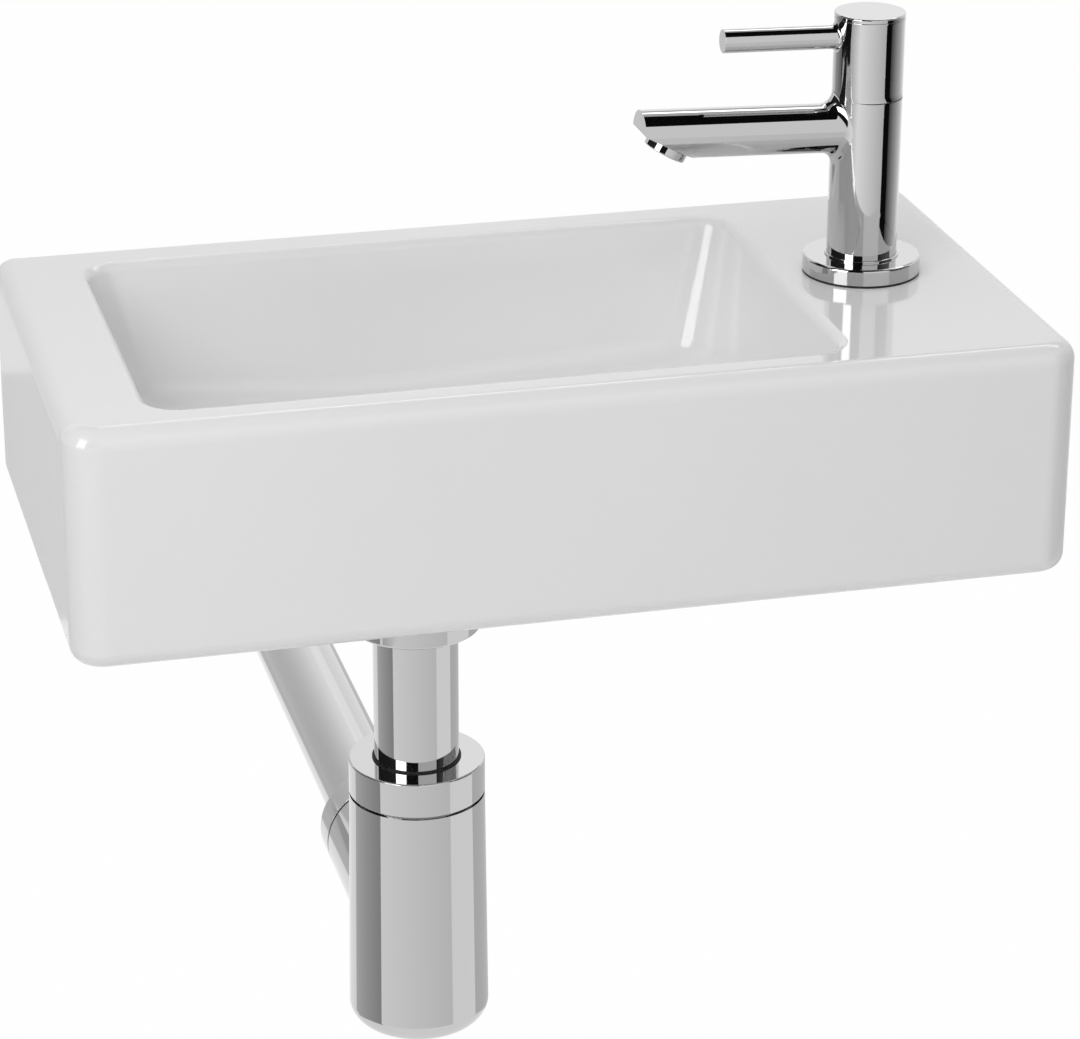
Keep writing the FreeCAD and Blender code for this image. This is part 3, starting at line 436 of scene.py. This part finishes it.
def soften(piece, width):
    """Rounds the sharp edges as polishing does, with shading that keeps the flats flat."""
    bevel = piece.modifiers.new("edges", "BEVEL")
    bevel.limit_method = "ANGLE"
    bevel.angle_limit = SHARP_ANGLE
    bevel.width = width
    bevel.segments = EDGE_STEPS
    bevel.use_clamp_overlap = True
    piece.modifiers.new("flats", "WEIGHTED_NORMAL")


def lathe(bm, points, base, axis):
    """Turns a closed profile of (radius, height) points about the axis through base, into bm."""
    turn = UP.rotation_difference(axis).to_matrix()
    rings = []
    for point in rounded(points):
        ring = []
        for i in range(ROUND_STEPS):
            a = 2 * math.pi * i / ROUND_STEPS
            spoke = Vector((point.x * math.cos(a), point.x * math.sin(a), point.y))
            ring.append(bm.verts.new(base + turn @ spoke))
        rings.append(ring)
    for lower, upper in zip(rings, rings[1:] + rings[:1]):
        for i in range(ROUND_STEPS):
            j = (i + 1) % ROUND_STEPS
            bm.faces.new((lower[i], lower[j], upper[j], upper[i]))


def turned_piece(name, points, base, axis, material, body, stands_for, edge):
    bm = bmesh.new()
    lathe(bm, points, base, axis)
    soften(new_piece(name, bm, material, body, stands_for), edge)


def finish_node(node, material):
    """Gives a CAD node its material."""
    mesh = frame["nodes"][node].data
    mesh.materials.clear()
    mesh.materials.append(material)


# ---- Column with a side bar, for the tap's body and its handle ----
def branched_column(bm, radius, low_z, high_z, bar_radius, bar_z, rise, blend_radius, bar_end):
    """Skin of an upright column at the origin with a bar that leaves it towards -X.

    A ball of the blend's radius rolled along the corner gives the fillet. bar_end(start, way) is the bar's
    length along one of its lines. Returns the ring at the bar's end.
    """
    way = Vector((-math.cos(rise), 0, math.sin(rise)))
    bar_up = Vector((math.sin(rise), 0, math.cos(rise)))
    start = UP * bar_z
    reach = bar_radius + blend_radius
    around = math.pi * radius
    corner_top = math.atan2(around, high_z - bar_z)
    corner_foot = math.pi - math.atan2(around, bar_z - low_z)
    top_index = round(BAR_LINES * corner_top / (2 * math.pi))
    foot_index = round(BAR_LINES * corner_foot / (2 * math.pi))

    def border(i):
        """Point (turn, z) of the column's unrolled outline that goes with bar line i."""
        mirrored = i > BAR_LINES / 2
        k = BAR_LINES - i if mirrored else i
        if k <= top_index:
            turn, z = math.pi * k / top_index, high_z
        elif k <= foot_index:
            turn, z = math.pi, high_z + (low_z - high_z) * (k - top_index) / (foot_index - top_index)
        else:
            turn, z = math.pi * (BAR_LINES / 2 - k) / (BAR_LINES / 2 - foot_index), low_z
        return (-turn if mirrored else turn), z

    rows = []
    for i in range(BAR_LINES):
        theta = 2 * math.pi * i / BAR_LINES
        out = bar_up * math.cos(theta) + TO_WALL * math.sin(theta)
        across = out.y * reach
        along = (math.sqrt((radius + blend_radius) ** 2 - across ** 2) + out.x * reach) / math.cos(rise)
        centre = start + way * along + out * reach
        to_column = -Vector((centre.x, centre.y, 0)).normalized()
        foot = centre + to_column * blend_radius
        turn_hole = math.atan2(foot.y, -foot.x)
        turn_edge, z_edge = border(i)
        row = []
        for step in range(SKIN_STEPS):
            share = (1 - step / SKIN_STEPS) ** SKIN_EASE
            turn = turn_hole + (turn_edge - turn_hole) * share
            z = foot.z + (z_edge - foot.z) * share
            row.append(Vector((-radius * math.cos(turn), radius * math.sin(turn), z)))
        swing = to_column.angle(-out)
        for step in range(BLEND_STEPS + 1):
            share = step / BLEND_STEPS
            spoke = to_column * math.sin((1 - share) * swing) - out * math.sin(share * swing)
            row.append(centre + spoke * (blend_radius / math.sin(swing)))
        line_start = start + out * bar_radius
        total = bar_end(line_start, way)
        for step in range(1, BAR_STEPS + 1):
            row.append(line_start + way * (along + (total - along) * step / BAR_STEPS))
        rows.append([bm.verts.new(p) for p in row])
    for one, other in zip(rows, rows[1:] + rows[:1]):
        for a, b, c, d in zip(one, one[1:], other[1:], other):
            if len({tuple(round(x, 8) for x in v.co) for v in (a, b, c, d)}) > 2:
                bm.faces.new((a, b, c, d))
    return [row[-1] for row in rows]


def cap_column(bm, z, inner_radius, depth):
    """Closes a column's open end at height z: a flat ring, then a recess of that depth."""
    ends = [v for v in bm.verts if abs(v.co.z - z) < SAME_POINT]
    bmesh.ops.remove_doubles(bm, verts=ends, dist=SAME_POINT)
    ends = [v for v in bm.verts if abs(v.co.z - z) < SAME_POINT]
    ends.sort(key=lambda v: math.atan2(v.co.y, v.co.x))
    rings = [ends]
    for radius, height in ((inner_radius, z), (inner_radius, z - depth)):
        ring = []
        for v in ends:
            spoke = Vector((v.co.x, v.co.y, 0)).normalized()
            ring.append(bm.verts.new(spoke * radius + UP * height))
        rings.append(ring)
    for lower, upper in zip(rings, rings[1:]):
        for i in range(len(ends)):
            j = (i + 1) % len(ends)
            bm.faces.new((lower[i], lower[j], upper[j], upper[i]))
    bm.faces.new(rings[-1])


def build_tap_body(shape, chrome):
    """Column with the spout blended into it and a sloped outlet face at the spout's tip."""
    bm = bmesh.new()
    low_z = top_of("tap_base_ring") - rim_z - shape.foot_sink
    rise = shape.spout_rise
    way = Vector((-math.cos(rise), 0, math.sin(rise)))
    bar_up = Vector((math.sin(rise), 0, math.cos(rise)))
    start = UP * shape.spout_height
    cut = shape.outlet_angle
    water = way * math.sin(cut) - bar_up * math.cos(cut)
    corner = start + way * shape.spout_reach + bar_up * shape.outlet_start

    def spout_end(line_start, line_way):
        to_outlet = (corner - line_start).dot(water) / line_way.dot(water)
        return min(shape.spout_reach, to_outlet)

    tip = branched_column(bm, shape.column_radius, low_z, shape.seam_height, shape.spout_radius,
                          shape.spout_height, rise, shape.spout_blend, spout_end)
    square = [v for v in tip if abs((v.co - start).dot(way) - shape.spout_reach) < ON_PLANE]
    sloped = [v for v in tip if v not in square]
    # The two faces of the tip meet on the chord through the outlet's edge.
    half_chord = math.sqrt(shape.spout_radius ** 2 - shape.outlet_start ** 2)
    chord = [bm.verts.new(corner + TO_WALL * s * half_chord) for s in (1, -1)]
    inside = 0.1 * MM  # the points are sorted round a place this far below the spout's axis
    top_face = sorted(square + chord, key=lambda v: math.atan2(v.co.y, (v.co - start).dot(bar_up) + inside))
    centre = sum((v.co for v in sloped), Vector()) / len(sloped)
    slope = water.cross(TO_WALL)
    under_face = sorted(sloped + chord, key=lambda v: math.atan2(v.co.y, (v.co - centre).dot(slope)))
    bm.faces.new(top_face)
    bm.faces.new(under_face)
    for v in chord:
        near = sorted(tip, key=lambda t: (t.co - v.co).length)[:2]
        bm.faces.new((v, *near))
    cap_column(bm, shape.seam_height, shape.column_radius - shape.wall, shape.seam_recess)
    cap_column(bm, low_z, shape.column_radius - shape.wall, shape.foot_recess)
    bm.transform(Matrix.Translation(tap_axis + UP * rim_z))
    piece = new_piece("tap_column_and_spout", bm, chrome, "basin", ["tap_body"])
    soften(piece, shape.edge)


def build_handle(shape, chrome):
    """Cap with the lever blended into it. The disc on its top stays a piece of its own."""
    bm = bmesh.new()
    foot_z = foot_of("handle") - rim_z
    top_z = foot_of("handle_top_disc") + shape.disc_spigot - rim_z
    tip = branched_column(bm, shape.column_radius, foot_z, top_z, shape.lever_radius, shape.lever_height,
                          shape.lever_rise, shape.lever_root, lambda line_start, way: shape.lever_reach)
    bar_z = sum(v.co.z for v in tip) / len(tip)
    tip.sort(key=lambda v: math.atan2(v.co.y, v.co.z - bar_z))
    bm.faces.new(tip)
    cap_column(bm, top_z, shape.column_radius - shape.wall, shape.cap_recess)
    cap_column(bm, foot_z, shape.column_radius - shape.wall, -shape.handle_hollow)
    bm.transform(Matrix.Translation(tap_axis + UP * rim_z))
    piece = new_piece("handle_cap_and_lever", bm, chrome, "handle", ["handle"])
    soften(piece, shape.edge)


def build_nuts(shape, upright_chrome, level_chrome):
    """The two chromium nuts whose joints show as dark lines, with the real depth of the gap."""
    gland_top = top_of("trap_gland_nut")
    gland_foot = foot_of("trap_gland_nut") + shape.seam
    radius = radius_of("trap_gland_nut")
    bore = shape.tube_radius + shape.fit
    points = [(bore, gland_top), (radius, gland_top, shape.nut_edge), (radius, gland_foot, shape.fit),
              (shape.gland_neck, gland_foot), (shape.gland_neck, gland_top - shape.nut_lip),
              (bore, gland_top - shape.nut_lip)]
    turned_piece("trap_gland_nut_turned", points, drain_axis, UP, upright_chrome, "basin",
                 ["trap_gland_nut"], shape.edge)
    low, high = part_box("trap_outlet_nut")
    radius = (high.x - low.x) / 2
    start = low.y + shape.outlet_seam
    points = [(shape.outlet_neck, start), (radius, start, shape.fit), (radius, high.y, shape.nut_edge),
              (bore, high.y), (bore, high.y - shape.nut_lip), (shape.outlet_neck, high.y - shape.nut_lip)]
    turned_piece("trap_outlet_nut_turned", points, pipe_axis, TO_WALL, level_chrome, "basin",
                 ["trap_outlet_nut"], shape.edge)


# ---- Stage ----
def bearing(turn, rise, azimuth):
    """Direction at a turn to the camera's right and a rise above the horizon."""
    front = Vector((math.sin(azimuth), -math.cos(azimuth), 0))
    right = Vector((math.cos(azimuth), math.sin(azimuth), 0))
    flat = front * math.cos(turn) + right * math.sin(turn)
    return flat * math.cos(rise) + UP * math.sin(rise)


def stage_mesh(name, bm, material, seen=False):
    """Object that isn't part of the basin. Unless it is seen, it shows only in reflections."""
    mesh = bpy.data.meshes.new(name)
    bm.to_mesh(mesh)
    bm.free()
    mesh.materials.append(material)
    made = bpy.data.objects.new(name, mesh)
    bpy.context.scene.collection.objects.link(made)
    if not seen:
        made.visible_camera = False
        made.visible_diffuse = False
        made.visible_shadow = False
        made.visible_transmission = False


def card(name, turns, rises, levels, distance, centre, azimuth):
    """Curved studio card about a centre, seen only in reflections.

    Turns and rises are in degrees. The levels are the light at the two ends of the turn.
    """
    bm = bmesh.new()
    shade = bm.verts.layers.float_color.new("level")
    grid = []
    for i in range(CARD_STEPS + 1):
        share = i / CARD_STEPS
        turn = math.radians(turns[0] + (turns[1] - turns[0]) * share)
        level = levels[0] + (levels[1] - levels[0]) * share
        column = []
        for j in range(CARD_STEPS + 1):
            rise = math.radians(rises[0] + (rises[1] - rises[0]) * j / CARD_STEPS)
            corner = bm.verts.new(centre + bearing(turn, rise, azimuth) * distance)
            corner[shade] = (level, level, level, 1)
            column.append(corner)
        grid.append(column)
    for one, other in zip(grid, grid[1:]):
        for a, b, c, d in zip(one, one[1:], other[1:], other):
            bm.faces.new((a, b, c, d))
    material, tree = new_material(name)[:2]
    light = add(tree, "Attribute", {"attribute_name": "level"}).outputs["Color"]
    glow = add(tree, "Emission", {}, Color=light, Strength=1.0)
    add(tree, "OutputMaterial", {}, Surface=glow)
    stage_mesh(name, bm, material)


# ---- Operators ----
class DressCeramic(bpy.types.Operator):
    """Glaze the basin"""
    bl_idname = "wall_basin.dress_ceramic"
    bl_label = "Glaze the basin"

    def execute(self, context):
        finish_node("basin", glazed_vitreous_china(context.scene.ceramic_look))
        return {"FINISHED"}


class BuildTap(bpy.types.Operator):
    """Build the tap's column, spout and handle and plate the tap"""
    bl_idname = "wall_basin.build_tap"
    bl_label = "Build the tap"

    def execute(self, context):
        chrome = bright_chromium_on_brass(context.scene.chrome_look)
        build_tap_body(context.scene.tap_shape, chrome)
        build_handle(context.scene.tap_shape, chrome)
        for node in ("tap_base_ring", "aerator_housing", "handle_top_disc"):
            finish_node(node, chrome)
        return {"FINISHED"}


class DressHiddenPieces(bpy.types.Operator):
    """Give the seals, discs, nuts and screws their finish"""
    bl_idname = "wall_basin.dress_hidden"
    bl_label = "Finish the hidden pieces"

    def execute(self, context):
        look = context.scene.small_part_look
        finishes = {
            "seal_rubber": moulded_rubber(look),
            "acetal": moulded_acetal(look),
            "bare_brass": machined_brass(look),
            "alumina": lapped_alumina(look),
            "steel": pressed_stainless_steel(look),
        }
        for row in frame["record"]["subparts"]:
            if row["material_slot"] in finishes:
                finish_node(row["node"], finishes[row["material_slot"]])
        return {"FINISHED"}


class BuildTrap(bpy.types.Operator):
    """Plate the waste and the trap and turn the trap's nuts"""
    bl_idname = "wall_basin.build_trap"
    bl_label = "Build the trap"

    def execute(self, context):
        look = context.scene.chrome_look
        upright = bright_chromium_on_tube(look, "bright_chromium_on_turned_brass", LINES_ROUND_UPRIGHT)
        level = bright_chromium_on_tube(look, "bright_chromium_on_drawn_pipe", LINES_ALONG_PIPE)
        for row in frame["record"]["subparts"]:
            if row["node"] == "trap_waste_pipe":
                finish_node(row["node"], level)
            elif row["material_slot"] in ("trap_chrome", "waste_chrome"):
                finish_node(row["node"], upright)
        build_nuts(context.scene.trap_shape, upright, level)
        return {"FINISHED"}


class SetStage(bpy.types.Operator):
    """Lay the floor, hang the cards and set the lights and camera"""
    bl_idname = "wall_basin.set_stage"
    bl_label = "Set the stage"

    def execute(self, context):
        studio = context.scene.studio_setup
        lay_floor(studio)
        hang_cards(studio)
        light_world(studio)
        place_lamp("key", studio)
        place_lamp("fill", studio)
        place_camera(studio)
        return {"FINISHED"}


def lay_floor(studio):
    """White paper. Most of its brightness is its own, so only a faint shadow shows on it."""
    material, tree, place = new_material("matt_paper_floor")
    fibre = add(tree, "TexNoise", {}, Vector=place, Scale=cells(studio.floor_fibre), Detail=3.0)
    shade = add(tree, "Mix", {"data_type": "RGBA"}, _0=fibre, _6=colour("F4F4F4"),
                _7=colour("F8F8F8")).outputs[2]
    paper = add(tree, "BsdfDiffuse", {}, Color=shade)
    white = add(tree, "Emission", {}, Color=colour("FFFFFF"), Strength=1.0)
    share = add(tree, "Math", {"operation": "MULTIPLY"}, _0=seen_ray(tree), _1=studio.floor_glow)
    surface = add(tree, "MixShader", {}, _0=share, _1=paper, _2=white)
    add(tree, "OutputMaterial", {}, Surface=surface)
    bm = bmesh.new()
    bmesh.ops.create_grid(bm, x_segments=1, y_segments=1, size=studio.floor_size / 2)
    bmesh.ops.translate(bm, verts=bm.verts, vec=(0, 0, -studio.floor_drop))
    stage_mesh("floor", bm, material, seen=True)


def hang_cards(studio):
    """Dark flags and light boxes that draw the lines in the chrome, at turns and rises in degrees."""
    room = TO_WALL * -90 * MM  # half way out from the wall to the basin's front
    tap_middle = 60 * MM  # above the rim
    trap_middle = -210 * MM
    by_tap = tap_axis + UP * (rim_z + tap_middle)
    by_trap = drain_axis + UP * (rim_z + trap_middle)
    turn = studio.azimuth
    # Overhead: black, then a grey scrim, a bright strip and a grey wall behind the basin.
    card("flag_over_left", (-168, 5), (42, 90), (0.01, 0.006), 1.9, room, turn)
    card("flag_over_right", (5, 120), (49.5, 90), (0.004, 0.004), 1.9, room, turn)
    card("flag_over_back", (120, 256), (66, 90), (0.004, 0.004), 1.9, room, turn)
    card("scrim_back", (120, 192), (52, 66), (0.57, 0.57), 1.95, room, turn)
    card("strip_back", (120, 192), (44, 52), (3.5, 3.5), 2.0, room, turn)
    card("wall_back", (120, 192), (30, 44), (0.61, 0.61), 2.0, room, turn)
    card("wall_back_low", (150, 180), (10, 30), (1.15, 1.15), 2.0, room, turn)
    # Round the front, at the height of the tap.
    card("box_left", (-56, -28), (0, 42), (5.0, 5.0), 2.0, room, turn)
    card("flag_camera", (-27, 5), (2, 52), (0.01, 0.01), 2.05, room, turn)
    card("wall_front", (5, 56), (-12, 52), (0.92, 0.92), 2.1, room, turn)
    card("flag_right", (56, 104), (2, 42), (0.03, 0.2), 2.0, room, turn)
    card("flag_left", (-125, -57), (3, 42), (0.02, 0.03), 2.0, room, turn)
    # Lower, where the upright column and handle look.
    card("wall_far_left", (-136, -100), (-19, -4), (0.45, 0.16), 2.0, room, turn)
    card("wall_left_back", (-180, -136), (-19, 42), (1.2, 0.62), 2.0, room, turn)
    card("flag_far_left", (-100, -62), (-19, -4), (0.01, 0.01), 2.0, room, turn)
    card("scrim_tap_left", (-62, -30), (-34, -6), (0.55, 1.13), 0.58, by_tap, turn)
    card("scrim_tap_front", (-30, 54), (-34, -6), (1.13, 0.66), 0.58, by_tap, turn)
    card("flag_tap_right", (54, 74), (-34, -6), (0.005, 0.005), 0.55, by_tap, turn)
    card("scrim_tap_right", (74, 150), (-34, -6), (0.06, 0.97), 0.56, by_tap, turn)
    # Lower still, where the trap and the basin's side look.
    card("wall_back_left", (-180, -125), (-50, -19), (0.72, 0.6), 2.0, room, turn)
    card("scrim_trap_left", (-124, -62), (-40, -8), (0.58, 0.34), 1.1, by_trap, turn)
    card("scrim_trap_front", (-62, 59), (-40, -8), (0.97, 0.76), 1.15, by_trap, turn)
    card("scrim_trap_right", (108, 180), (-40, -8), (0.635, 0.635), 1.15, by_trap, turn)


def light_world(studio):
    """White to the eye and to reflections. Even light for the rest, stronger from above."""
    world = bpy.data.worlds.new("studio_air")
    world.use_nodes = True
    tree = world.node_tree
    tree.nodes.clear()
    way = add(tree, "TexCoord", {}).outputs["Generated"]
    height = add(tree, "SeparateXYZ", {}, Vector=way).outputs[2]
    strength = add(tree, "MapRange", {}, Value=height, To_Min=studio.daylight, To_Max=studio.zenith)
    even = add(tree, "Background", {}, Color=colour("FFFFFF"), Strength=strength)
    white = add(tree, "Background", {}, Color=colour("FFFFFF"), Strength=1.0)
    mixed = add(tree, "MixShader", {}, _0=seen_ray(tree), _1=even, _2=white)
    add(tree, "OutputWorld", {}, Surface=mixed)
    bpy.context.scene.world = world


def seen_ray(tree):
    """One for rays from the camera, a mirror or glass, and nought for light that falls on matt surfaces."""
    path = add(tree, "LightPath", {})
    seen = path.outputs["Is Camera Ray"]
    for kind in ("Is Glossy Ray", "Is Transmission Ray"):
        seen = add(tree, "Math", {"operation": "MAXIMUM"}, _0=seen, _1=path.outputs[kind])
    return seen


def place_lamp(name, studio):
    """A soft lamp that faces the basin. The key makes the front fall off to the right, the fill lifts it."""
    light = bpy.data.lights.new(name, "AREA")
    light.shape = "SQUARE"
    light.size = getattr(studio, name + "_size")
    light.energy = getattr(studio, name + "_power")
    lamp = bpy.data.objects.new(name, light)
    bpy.context.scene.collection.objects.link(lamp)
    way = bearing(getattr(studio, name + "_turn"), getattr(studio, name + "_rise"), studio.azimuth)
    lamp.location = middle("basin") + way * getattr(studio, name + "_distance")
    lamp.rotation_mode = "QUATERNION"
    lamp.rotation_quaternion = way.to_track_quat("Z", "Y")
    lamp.visible_glossy = False
    lamp.visible_camera = False


def place_camera(studio):
    """The photograph's view, worked out for a frame of 1080 by 1039."""
    camera = bpy.data.objects.new("camera", bpy.data.cameras.new("camera"))
    bpy.context.scene.collection.objects.link(camera)
    camera.data.sensor_width = SENSOR_WIDTH
    camera.data.lens = studio.lens
    camera.data.clip_start = 50 * MM
    camera.data.clip_end = 50000 * MM
    back = bearing(0, studio.elevation, studio.azimuth)
    right = UP.cross(back).normalized()
    up = back.cross(right)
    tilt = studio.roll
    rolled_right = right * math.cos(tilt) + up * math.sin(tilt)
    rolled_up = up * math.cos(tilt) - right * math.sin(tilt)
    turn = Matrix((rolled_right, rolled_up, back)).transposed()
    where = back * studio.distance + right * studio.slide + up * studio.lift + UP * rim_z
    camera.matrix_world = Matrix.Translation(where) @ turn.to_4x4()
    bpy.context.scene.camera = camera


class BasinPanel(bpy.types.Panel):
    """Steps that dress the basin, in order"""
    bl_idname = "VIEW3D_PT_wall_basin"
    bl_label = "Wall basin"
    bl_space_type = "VIEW_3D"
    bl_region_type = "UI"
    bl_category = "Wall basin"

    def draw(self, context):
        for step in STEPS:
            self.layout.operator(step.bl_idname)


GROUPS = {
    "ceramic_look": CeramicLook,
    "chrome_look": ChromeLook,
    "small_part_look": SmallPartLook,
    "tap_shape": TapShape,
    "trap_shape": TrapShape,
    "studio_setup": StudioSetup,
}
STEPS = (DressCeramic, BuildTap, DressHiddenPieces, BuildTrap, SetStage)


def register():
    for name, group in GROUPS.items():
        bpy.utils.register_class(group)
        setattr(bpy.types.Scene, name, bpy.props.PointerProperty(type=group))
    for step in STEPS:
        bpy.utils.register_class(step)
    bpy.utils.register_class(BasinPanel)


def unregister():
    bpy.utils.unregister_class(BasinPanel)
    for step in reversed(STEPS):
        bpy.utils.unregister_class(step)
    for name, group in GROUPS.items():
        delattr(bpy.types.Scene, name)
        bpy.utils.unregister_class(group)


def main():
    register()
    bpy.context.scene.view_settings.view_transform = "Standard"
    for step in STEPS:
        category, name = step.bl_idname.split(".")
        getattr(getattr(bpy.ops, category), name)()


if __name__ == "__main__":
    main()
